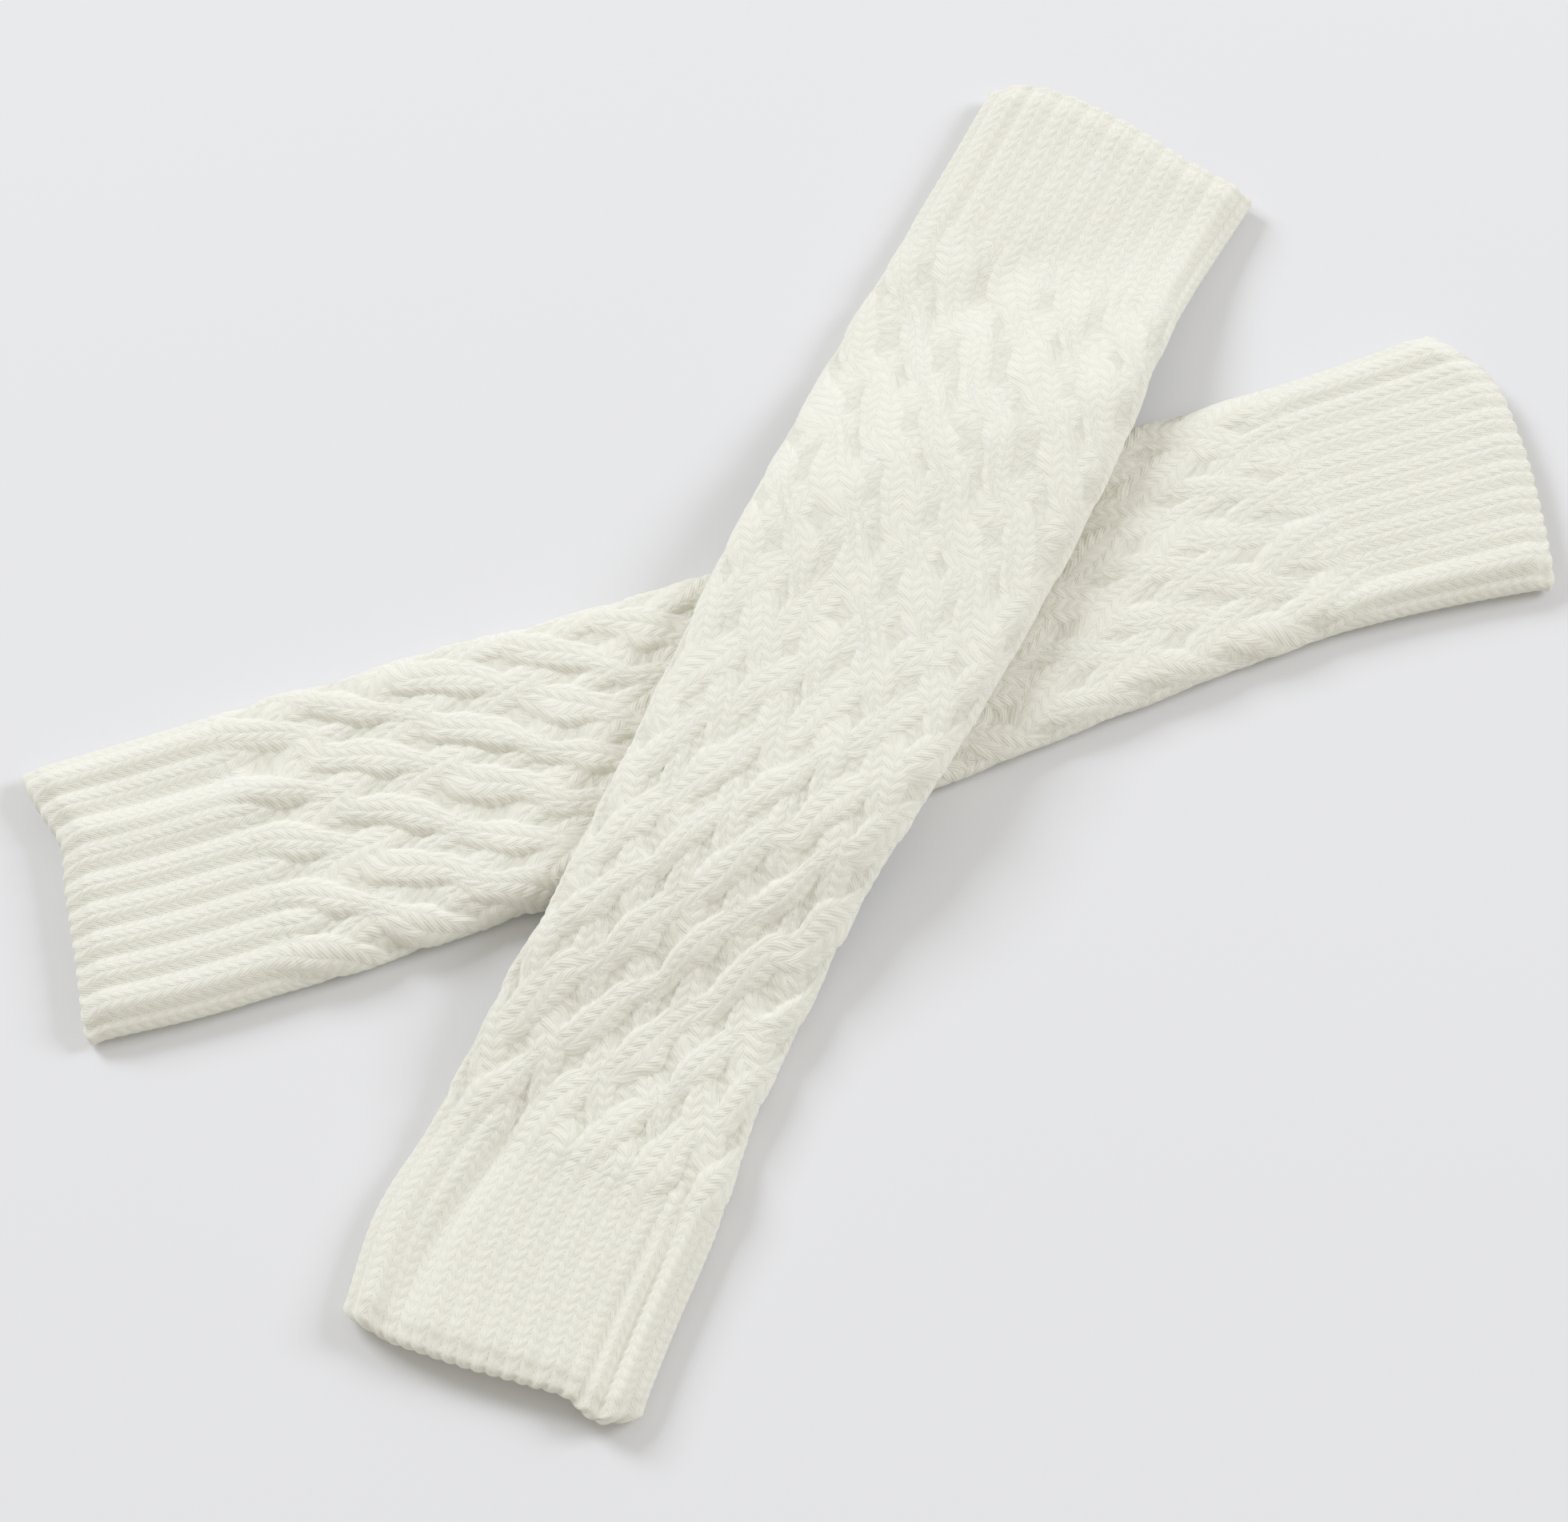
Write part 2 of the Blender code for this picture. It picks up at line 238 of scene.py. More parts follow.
@dataclass(frozen=True)
class YarnKnit:
    """Gauge and relief of the knitting: how stitches, ribs and cable strands stand up.

    Lengths are in metres, strands' widths and sideways moves in ribs.
    """

    rib_width: float = 8.7 * MM
    rib_height: float = 1.0 * MM
    rib_flatness: float = 0.8
    back_share: float = 0.35
    # a strand's relief, its width, and how much it differs from its neighbours
    strand_crown: float = 1.2 * MM
    strand_roundness: float = 0.72
    strand_swing: float = 0.4 * MM
    strand_blend: float = 0.7 * MM
    strand_spread: float = 1.25
    crossing_spread: float = 0.28
    strand_wander: float = 0.16
    strand_variety: float = 0.15
    strand_beat: float = 4.7
    row_beat: float = 1.9
    swing_steepness: float = 1.25
    # a row of crossings, how the strands quicken and sway in it, and how they start at a seam
    cable_row: float = 14 * MM
    row_wander: float = 2.0 * MM
    crossing_haste: float = 0.1
    cable_sway: float = 0.5
    cable_fade: float = 16 * MM
    cable_lead: float = 9 * MM
    cable_start: float = 4 * MM
    straight_below: float = 0.2
    favour_wander: float = 0.22 * MM
    loft_variety: float = 0.14
    # stitches: the cables' and then the ribbing's heights of lobes, wales and purl ground
    course: float = 3.3 * MM
    stitch_slant: float = 0.75
    stitch_across: float = 0.7
    stitch_along: float = 0.6
    stitch_height: float = 0.3 * MM
    rib_stitch_height: float = 0.17 * MM
    wale_height: float = 0.36 * MM
    rib_wale_height: float = 0.17 * MM
    mouth_wales: float = 1.6
    ground_height: float = 0.55 * MM
    rib_ground_height: float = 0.15 * MM
    # levels from which a strand or rib carries stitches, not ground
    strand_body: float = 0.35
    rib_body: float = 0.5
    # shares of painted shade in the grooves between wales and between the lobes of stitches
    wale_groove_shade: float = 0.2
    lobe_groove_shade: float = 0.2

    def rib_wave(self, ribs: np.ndarray) -> np.ndarray:
        """Broad rounded ribs with narrow valleys, 0 to 1: a raised cosine to a power below 1."""
        wave = 0.5 + 0.5 * np.cos(2 * math.pi * ribs)
        return wave**self.rib_flatness

    def strand_middle(self, lean: int | np.ndarray, row: np.ndarray) -> np.ndarray:
        """Place of a family's first strand, in ribs: it moves one a row, slower at whole rows."""
        drift = row - self.crossing_haste * np.sin(2 * math.pi * row) / (2 * math.pi)
        return lean * drift + 0.5 - 0.5 * lean

    def strand_sway(self, row: np.ndarray) -> np.ndarray:
        """How far both families sway together, in ribs, which straightens the strands on top."""
        return self.cable_sway * np.cos(math.pi * row) / math.pi

    def strand_slope(self, lean: np.ndarray, row: np.ndarray) -> np.ndarray:
        """Ribs that a swaying strand moves sideways per row, 0 where ``lean`` is 0."""
        drift = lean * (1 - self.crossing_haste * np.cos(2 * math.pi * row))
        return np.abs(lean) * (drift - self.cable_sway * np.sin(math.pi * row))

    def strand_width(self, row: np.ndarray) -> np.ndarray:
        """Width of a strand in ribs, widest at the crossings."""
        return self.strand_spread + self.crossing_spread * np.sin(math.pi * row) ** 2

    def wale_relief(self, wale: np.ndarray) -> np.ndarray:
        """Each wale as a rounded ridge, from 0 in the grooves at whole numbers to 1."""
        return np.sqrt(np.clip(1 - (2 * (wale - np.floor(wale)) - 1) ** 2, 0.0, 1.0))

    def stitch_relief(self, wale: np.ndarray, course: np.ndarray) -> np.ndarray:
        """The two slanted lobes of each knit stitch, from 0 in the grooves to 1 on the lobes.

        Within a wale q runs from -1 to 1. The lobes are at |q| = 0.5, and each stands higher up
        the wale the further out it is, which gives the V. The relief is a half ellipse over |q|
        times a rounded wave over the course number less slant times |q|.

        Args:
            wale: Place across, in wales, with grooves at whole numbers.
            course: Place along, in courses.

        Returns:
            The relief of each place as a share of its full height.
        """
        q = np.abs(2 * (wale - np.floor(wale)) - 1)
        across = np.sqrt(np.clip(1 - ((q - 0.5) / 0.5) ** 2, 0.0, 1.0))
        wave = 0.5 + 0.5 * np.cos(2 * math.pi * (course - self.stitch_slant * q))
        return across**self.stitch_across * wave**self.stitch_along


@dataclass(frozen=True)
class Patch:
    """A soft round patch of the upper panel where one family of strands lies higher, in mm."""

    along: float
    across: float
    reach: float
    lean: Lean
    amount: float


@dataclass
class KnitField:
    """What the knitting does at an array of places: relief, wales on top, painted shade level."""

    height: np.ndarray
    lean: np.ndarray
    strand: np.ndarray
    depth: np.ndarray


@dataclass
class LegWarmer:
    """One leg warmer, pressed flat: its place on the surface, its outline and its knitting."""

    name: str
    centre: tuple[float, float]
    turn: float
    near_seam: float
    far_seam: float
    stations: tuple[Station, ...]
    near_edge: tuple[EdgePoint, ...]
    far_edge: tuple[EdgePoint, ...]
    creases: tuple[Crease, ...]
    patches: tuple[Patch, ...] = ()
    near_ribs: float = 0.5
    far_ribs: float = 0.5
    near_loft: float = 1.0
    far_loft: float = 1.0
    worn_reach: float = 120 * MM
    near_recess: float = 1.0 * MM
    far_recess: float = 1.0 * MM
    phase: float = 0.0
    knit: YarnKnit = field(default_factory=YarnKnit)
    wall: float = 3.2 * MM
    panel_gap: float = 2.2 * MM
    mouth_gap: float = 2.5 * MM
    mouth_reach: float = 30 * MM
    mouth_pull: float = 20 * MM
    mouth_ribs: float = 0.25
    fold_ribs_from: float = 0.5
    fold_ribs_over: float = 0.4
    droop: float = 0.36
    droop_reach: float = 9 * MM
    droop_power: float = 1.5
    bead: float = 0.45 * MM
    bead_reach: float = 1.8 * MM
    bead_sharpness: float = 2.5
    fold_reach: float = 7.0 * MM
    crown: float = 0.1
    crease_fade: float = 0.3
    relief_floor_turn: float = 0.12
    relief_full_turn: float = 0.42
    bridged: "LegWarmer | None" = None
    bridge_fall: float = 62 * MM
    rest_gap: float = 0.7 * MM

    @property
    def near_end(self) -> float:
        """Where the near cuff's mouth is, on the axis."""
        return self.stations[0].along * MM

    @property
    def far_end(self) -> float:
        """Where the far cuff's mouth is, on the axis."""
        return self.stations[-1].along * MM

    @property
    def row_length(self) -> float:
        """Length of one cable row: a whole number of them fills the leg but for the slow starts."""
        length = self.far_seam - self.near_seam
        rows = round(length / self.knit.cable_row)
        return (length - 2 * self.knit.cable_start) / rows

    def from_mouth(self, along: np.ndarray) -> np.ndarray:
        """Distance of places along from the nearer mouth."""
        return np.minimum(along - self.near_end, self.far_end - along)

    def cabled(self, along: np.ndarray) -> np.ndarray:
        """How far the ribs have turned into strands, from 0 on the cuffs to 1 on the leg."""
        inside = np.minimum(along - self.near_seam, self.far_seam - along)
        return smooth_step((inside + self.knit.cable_lead) / self.knit.cable_fade)

    def loft(self, along: np.ndarray) -> np.ndarray:
        """How much of its relief the leg has kept, from the near half's share to the far half's."""
        worn = smooth_step(0.5 + along / self.worn_reach)
        return self.near_loft + (self.far_loft - self.near_loft) * worn

    def half_width(self, along: np.ndarray) -> np.ndarray:
        """Half the flat width at places along, without relief."""
        places = [s.along * MM for s in self.stations]
        return 0.5 * smooth_curve(along, places, [s.width * MM for s in self.stations])

    def middle(self, along: np.ndarray) -> np.ndarray:
        """Sideways shift of the middle at places along."""
        places = [s.along * MM for s in self.stations]
        return smooth_curve(along, places, [s.centre * MM for s in self.stations])

    def half_height(self, along: np.ndarray) -> np.ndarray:
        """Half the height of the flattened tube, a little more at the mouths, which gape."""
        gape = 1 - smooth_step(self.from_mouth(along) / self.mouth_reach)
        return self.wall + 0.5 * (self.panel_gap + (self.mouth_gap - self.panel_gap) * gape)

    def crease_height(self, along: np.ndarray, across: np.ndarray) -> np.ndarray:
        """Sum of the creases: each is a soft bell across its line that fades out at both ends.

        Args:
            along: Places along, in metres.
            across: Places across from the middle, in metres.

        Returns:
            How far the upper panel is raised or sunk there.
        """
        total = np.zeros(np.broadcast(along, across).shape)
        half_width = self.half_width(along)
        for crease in self.creases:
            share = (along / MM - crease.start) / (crease.end - crease.start)
            line = crease.across_start + (crease.across_end - crease.across_start) * share
            bell = np.exp(-(((across - line * half_width) / (crease.spread * MM)) ** 2))
            fade = smooth_step(share / self.crease_fade)
            fade = fade * smooth_step((1 - share) / self.crease_fade)
            total = total + crease.height * MM * bell * fade
        return total

    def droop_share(self, along: np.ndarray) -> np.ndarray:
        """Share of the height that is left where a mouth's edge sinks to the surface."""
        sunk = 1 - smooth_step(self.from_mouth(along) / self.droop_reach)
        return 1 - self.droop * sunk**self.droop_power

    def flat_tube(
        self, ribs: np.ndarray, half_width: np.ndarray, half_height: np.ndarray, reach: float
    ) -> tuple[np.ndarray, np.ndarray, np.ndarray, np.ndarray, np.ndarray]:
        """Points and outward normals round a flattened tube, by place in ribs.

        The outline is a flat underside, half an ellipse at each side and a flat top, walked at an
        even pace.

        Args:
            ribs: Places round, in ribs from the underside's middle.
            half_width: Half the flat width.
            half_height: Half the height.
            reach: How far each side fold reaches in from its edge.

        Returns:
            The place across, the height, both parts of the normal, and the turn of the side fold
            from 0, underneath, to 1, on top.
        """
        flat = half_width - reach
        quarter = 0.25 * math.pi * (reach + half_height)
        side = np.where((ribs % RIBS) <= RIBS / 2, 1.0, -1.0)
        walked = np.minimum(ribs % RIBS, RIBS - ribs % RIBS) * (4 * flat + 4 * quarter) / RIBS
        turn = np.clip((walked - flat) / (2 * quarter), 0.0, 1.0)
        angle = math.pi * turn
        on_top = np.maximum(walked - flat - 2 * quarter, 0.0)
        across = np.minimum(walked, flat) - on_top + reach * np.sin(angle)
        height = half_height * (1 - np.cos(angle))
        normal_across = np.sin(angle) / reach
        normal_up = -np.cos(angle) / half_height
        length = np.hypot(normal_across, normal_up)
        return side * across, height, side * normal_across / length, normal_up / length, turn

    def rib_strength(self, ribs: np.ndarray, along: np.ndarray) -> np.ndarray:
        """Share of the ribs' full height on the cuffs.

        Worn ribbing is stretched almost flat in the middle of the panel. It pulls together again
        towards the side folds and, a little, at the cast-on edge.

        Args:
            ribs: Places round, in ribs.
            along: Places along, in metres.

        Returns:
            The share at each place.
        """
        stretched = np.where(along < 0, self.near_ribs, self.far_ribs)
        from_middle = np.abs(ribs - RIBS / 2) / (RIBS / 4)
        at_fold = smooth_step((from_middle - self.fold_ribs_from) / self.fold_ribs_over)
        lost = (1 - stretched) * (1 - at_fold) * (1 - self.mouth_ribs * self.gathered(along))
        return 1 - lost

    def gathered(self, along: np.ndarray) -> np.ndarray:
        """How much the cast-on edge pulls the stitches together, from 1 at a mouth to 0."""
        return 1 - smooth_step(self.from_mouth(along) / self.mouth_pull)

    def wandering(self, what: Wandering, ribs: np.ndarray, along: np.ndarray) -> np.ndarray:
        """This leg warmer's own unevenness of one kind, between about -1 and 1."""
        return unevenness(ribs, along, self.phase + what.value)

    def favour(self, ribs: np.ndarray, along: np.ndarray) -> np.ndarray:
        """How much the right-leaning strands lie above the left-leaning ones, in metres.

        The sum of the listed patches, each a bell over the distance from its middle, and a
        little wandering.

        Args:
            ribs: Places round, in ribs.
            along: Places along, in metres.

        Returns:
            Height added to the right-leaning family and taken from the other.
        """
        across = (RIBS / 2 - ribs % RIBS) * self.knit.rib_width
        total = self.knit.favour_wander * self.wandering(Wandering.FAVOUR, ribs, along)
        for patch in self.patches:
            away = np.hypot(along - patch.along * MM, across - patch.across * MM)
            bell = np.exp(-((away / (patch.reach * MM)) ** 2))
            total = total + patch.lean.value * patch.amount * MM * bell
        return total

    def slow_start(self, along: np.ndarray) -> np.ndarray:
        """How far the strands have run by a place along.

        Next to a seam they still run straight on from the ribs, and they take up their lean
        within a few millimetres: each end's distance s counts as s + w exp(-s / w) - w.

        Args:
            along: Places along, in metres.

        Returns:
            The distance run from the near seam, in metres.
        """
        width = self.knit.cable_start
        length = self.far_seam - self.near_seam
        from_near = np.clip(along - self.near_seam, 0.0, length)
        run = from_near - width + width * np.exp(-from_near / width)
        return run - width * np.exp((from_near - length) / width)

    def wander(self, ribs: np.ndarray, along: np.ndarray) -> tuple[np.ndarray, np.ndarray]:
        """Places as the knitting has them: strands and rows wander and sway, ribs do not.

        Args:
            ribs: Places round, in ribs.
            along: Places along, in metres.

        Returns:
            The place round with the strands' wandering and sway, and the distance run from the
            near seam, in cable rows, with the rows' wandering.
        """
        cabled = self.cabled(along)
        lengthways = self.knit.row_wander * self.wandering(Wandering.ROWS, ribs, along)
        row = (self.slow_start(along) + lengthways * cabled) / self.row_length
        sideways = self.knit.strand_wander * self.wandering(Wandering.STRANDS, ribs, along)
        return ribs + (sideways - self.knit.strand_sway(row)) * cabled, row

    def strands(
        self, lean: Lean, used: np.ndarray, row: np.ndarray, favour: np.ndarray
    ) -> tuple[np.ndarray, np.ndarray]:
        """One family of strands: a rounded ridge each, high where it passes over the other family.

        Args:
            lean: Which way the family runs.
            used: Places round, in ribs, with the strands' wandering.
            row: Places along, in cable rows, with the rows' wandering.
            favour: How much the right-leaning family is raised.

        Returns:
            The family's height at each place, and the number of the strand there.
        """
        knit = self.knit
        side = lean.value
        off = used - knit.strand_middle(side, row)
        strand = np.round(off / 2)
        beat = strand * knit.strand_beat + row * knit.row_beat + side + self.phase
        variety = knit.strand_variety * np.sin(beat)
        half_width = 0.5 * knit.strand_width(row)
        share = (off - 2 * strand) / (half_width * (1 + 0.5 * variety))
        crown = np.clip(1 - share**2, 0.0, 1.0) ** knit.strand_roundness
        over = 0.5 + 0.5 * side * np.sin(math.pi * row)
        height = crown * knit.strand_crown * (1 + variety)
        body = smooth_step(knit.swing_steepness * crown)
        return height + body * (2 * knit.strand_swing * over + side * favour), strand

    def weave(
        self, used: np.ndarray, row: np.ndarray, favour: np.ndarray
    ) -> tuple[np.ndarray, np.ndarray, np.ndarray]:
        """Both families of strands, the higher one on top, with a soft step down to the other.

        The step is a smooth maximum: a quarter of the blend height, times the square of how close
        the two heights are, is added to the higher one.

        Args:
            used: Places round, in ribs, with the strands' wandering.
            row: Places along, in cable rows, with the rows' wandering.
            favour: How much the right-leaning family is raised.

        Returns:
            The height, the lean of the family on top and the number of its strand.
        """
        right, right_strand = self.strands(Lean.RIGHT, used, row, favour)
        left, left_strand = self.strands(Lean.LEFT, used, row, favour)
        blend = self.knit.strand_blend
        close = np.clip(1 - np.abs(right - left) / blend, 0.0, 1.0)
        height = np.maximum(np.maximum(right, left) + 0.25 * blend * close**2, 0.0)
        lean = np.where(right > left, Lean.RIGHT.value, Lean.LEFT.value)
        return height, lean, np.where(right > left, right_strand, left_strand)

    def knit_at(self, ribs: np.ndarray, along: np.ndarray) -> KnitField:
        """The knitting at places of the outside: ribs on the cuffs, woven strands on the leg.

        Stitches stand on the ribs and strands, and between these the purl ground shows as low
        bars. Ribs turn into strands within a short stretch on both sides of each seam, and one
        half of the leg can be worn flatter than the other.

        Args:
            ribs: Places round, in ribs.
            along: Places along, in metres.

        Returns:
            The relief with its stitches, the wales on top, and how high each place stands as a
            share, lowered in the grooves between wales and lobes, which sets the painted shade.
        """
        knit = self.knit
        cabled = self.cabled(along)
        used, row = self.wander(ribs, along)
        woven, lean, strand = self.weave(used, row, self.favour(ribs, along))
        loft = self.loft(along)
        variety = knit.loft_variety * self.wandering(Wandering.LOFT, ribs, along)
        woven = woven * loft * (1 + variety)
        straight = cabled < knit.straight_below
        lean = np.where(straight, Lean.STRAIGHT.value, lean)
        strand = np.where(straight, np.round(used), strand)
        wale, course = self.stitch_places(ribs, along, lean, strand)
        ridges = knit.wale_relief(wale)
        lobes = knit.stitch_relief(wale, course)
        bars = 0.5 + 0.5 * np.cos(2 * math.pi * along / knit.course)
        wave = knit.rib_wave(used)
        level = np.clip(woven / (loft * (knit.strand_crown + knit.strand_swing)), 0.0, 1.0)
        on_rib, on_strand = smooth_step(wave / knit.rib_body), smooth_step(level / knit.strand_body)
        raised = mix(on_rib, on_strand, cabled)
        stitch = mix(knit.rib_stitch_height, knit.stitch_height * loft, cabled)
        pulled = 1 + knit.mouth_wales * self.gathered(along)
        ridge = mix(knit.rib_wale_height * pulled, knit.wale_height * loft, cabled)
        ground = mix(knit.rib_ground_height, knit.ground_height * loft, cabled)
        relief = mix(knit.rib_height * wave * self.rib_strength(ribs, along), woven, cabled)
        relief = relief + (stitch * lobes + ridge * ridges) * raised + ground * bars * (1 - raised)
        # painted shade: low places and the grooves between wales and lobes get a lower light level
        stitch_shade = 1 - knit.wale_groove_shade * (1 - ridges) - knit.lobe_groove_shade * (1 - lobes)
        depth = mix(0.5 + 0.5 * wave, level, cabled) * stitch_shade
        return KnitField(relief, lean, strand, np.clip(depth, 0.0, 1.0))

    def stitch_places(
        self, ribs: np.ndarray, along: np.ndarray, lean: np.ndarray, strand: np.ndarray
    ) -> tuple[np.ndarray, np.ndarray]:
        """Places in wales and courses on given wales.

        A rib or strand is two wales wide. On a leaning strand the courses lie square to it: the
        slope of its middle line times the offset from that line is added to the length. Strands
        are set apart across, so that no two share a place.

        Args:
            ribs: Places round, in ribs.
            along: Places along, in metres.
            lean: 1, -1 or 0 for the way that the wales run.
            strand: Number of the strand in its family, or of the rib.

        Returns:
            The place across in wales and the place along in courses.
        """
        knit = self.knit
        used, row = self.wander(ribs, along)
        middle = np.where(lean == 0, strand, knit.strand_middle(lean, row) + 2 * strand)
        off = used - middle
        width = np.where(lean == 0, 1.0, knit.strand_width(row))
        wale = 2 * off / width + STRAND_STEP * strand + FAMILY_STEP * lean
        slope = knit.strand_slope(lean, row) / self.row_length
        course = (along + slope * knit.rib_width**2 * off) / knit.course
        return wale, course

    def place(
        self, along: np.ndarray, across: np.ndarray, height: np.ndarray, turn: np.ndarray
    ) -> np.ndarray:
        """World points of places on the leg warmer.

        The cuffs' edges are drawn out by their tables, the lower panel ends a little short of the
        upper one, the axis is turned on the surface, and the one that lies over the other is
        lifted where it crosses it.

        Args:
            along: Places along, in metres.
            across: Places across from the middle, in metres.
            height: Heights above the surface, in metres.
            turn: The turn of the side fold, from 0, underneath, to 1, on top.

        Returns:
            Points, with a last axis of x, y and z.
        """
        share = across / self.half_width(along)
        near = smooth_step((self.near_seam - along) / (self.near_seam - self.near_end))
        far = smooth_step((along - self.far_seam) / (self.far_end - self.far_seam))
        near_out = near * edge_curve(self.near_edge, share)
        far_out = far * edge_curve(self.far_edge, share)
        at_near = 1 - smooth_step((along - self.near_end) / self.mouth_reach)
        at_far = 1 - smooth_step((self.far_end - along) / self.mouth_reach)
        short = self.near_recess * at_near - self.far_recess * at_far
        drawn = along - near_out + far_out + short * (1 - smooth_step(turn))
        sideways = across + self.middle(along)
        sine, cosine = math.sin(self.turn), math.cos(self.turn)
        x = self.centre[0] + drawn * cosine - sideways * sine
        y = self.centre[1] + drawn * sine + sideways * cosine
        return np.stack([x, y, height + self.bridge_lift(x, y)], axis=-1)

    def bridge_lift(self, x: np.ndarray, y: np.ndarray) -> np.ndarray:
        """How far this leg warmer is lifted where it crosses the other.

        The full height of the lower one over its width, and an S-curve down to the surface over
        the distance beyond its edge.

        Args:
            x: World places.
            y: World places.

        Returns:
            The lift at each place, 0 for a leg warmer that crosses nothing.
        """
        lower = self.bridged
        if lower is None:
            return np.zeros(x.shape)
        sine, cosine = math.sin(lower.turn), math.cos(lower.turn)
        along = (x - lower.centre[0]) * cosine + (y - lower.centre[1]) * sine
        across = (y - lower.centre[1]) * cosine - (x - lower.centre[0]) * sine
        beyond = np.abs(across - lower.middle(along)) - lower.half_width(along)
        tube = 2 * lower.wall + lower.panel_gap
        pile = tube * (1 + lower.crown) + lower.knit.strand_crown + 2 * lower.knit.strand_swing
        return (pile + self.rest_gap) * smooth_step(1 - beyond / self.bridge_fall)

    def outer_rings(self, ribs: np.ndarray, along: np.ndarray) -> tuple[np.ndarray, KnitField]:
        """Rings of the outside.

        The flattened tube, crowned in the middle, with the creases on its upper panel, moved out
        along its normal by the knitting's relief and by the bead at a mouth. Both die away under
        the side folds, so the underside rests flat.

        Args:
            ribs: Places round, one for each column.
            along: Places along, one for each ring.

        Returns:
            The points, ring by ring, and the knitting there.
        """
        ribs, along = np.meshgrid(ribs, along)
        half_width = self.half_width(along)
        shape = self.flat_tube(ribs, half_width, self.half_height(along), self.fold_reach)
        across, height, out_across, out_up, turn = shape
        height = height * (1 + self.crown * (1 - (across / half_width) ** 2))
        height = height + self.crease_height(along, across) * smooth_step(2 * turn - 1)
        span = self.relief_full_turn - self.relief_floor_turn
        shown = smooth_step((turn - self.relief_floor_turn) / span)
        knitted = self.knit_at(ribs, along)
        from_bead = self.from_mouth(along) / self.bead_reach - 1
        bead = self.bead * np.exp(-(from_bead**2) * self.bead_sharpness)
        relief = (knitted.height + bead) * shown
        lifted = np.maximum(height + relief * out_up, 0.0) * self.droop_share(along)
        return self.place(along, across + relief * out_across, lifted, turn), knitted

    def inner_rings(self, ribs: np.ndarray, along: np.ndarray) -> np.ndarray:
        """Rings of the inside: one wall in, with the back of the ribs in low relief on the cuffs.

        Args:
            ribs: Places round, one for each column.
            along: Places along, one for each ring.

        Returns:
            The points, ring by ring.
        """
        ribs, along = np.meshgrid(ribs, along)
        half_width = self.half_width(along)
        half_height = self.half_height(along) - self.wall
        reach = self.fold_reach - self.wall
        shape = self.flat_tube(ribs, half_width - self.wall, half_height, reach)
        across, height, out_across, out_up, turn = shape
        height = (height + self.wall) * (1 + self.crown * (1 - (across / half_width) ** 2))
        troughs = np.minimum(self.crease_height(along, across), 0.0)
        back = self.knit.back_share * self.knit.rib_height * self.knit.rib_wave(ribs + 0.5)
        back = back * (1 - self.cabled(along))
        across = across - back * out_across
        height = height + troughs * smooth_step(2 * turn - 1) - back * out_up
        return self.place(along, across, height * self.droop_share(along), turn)


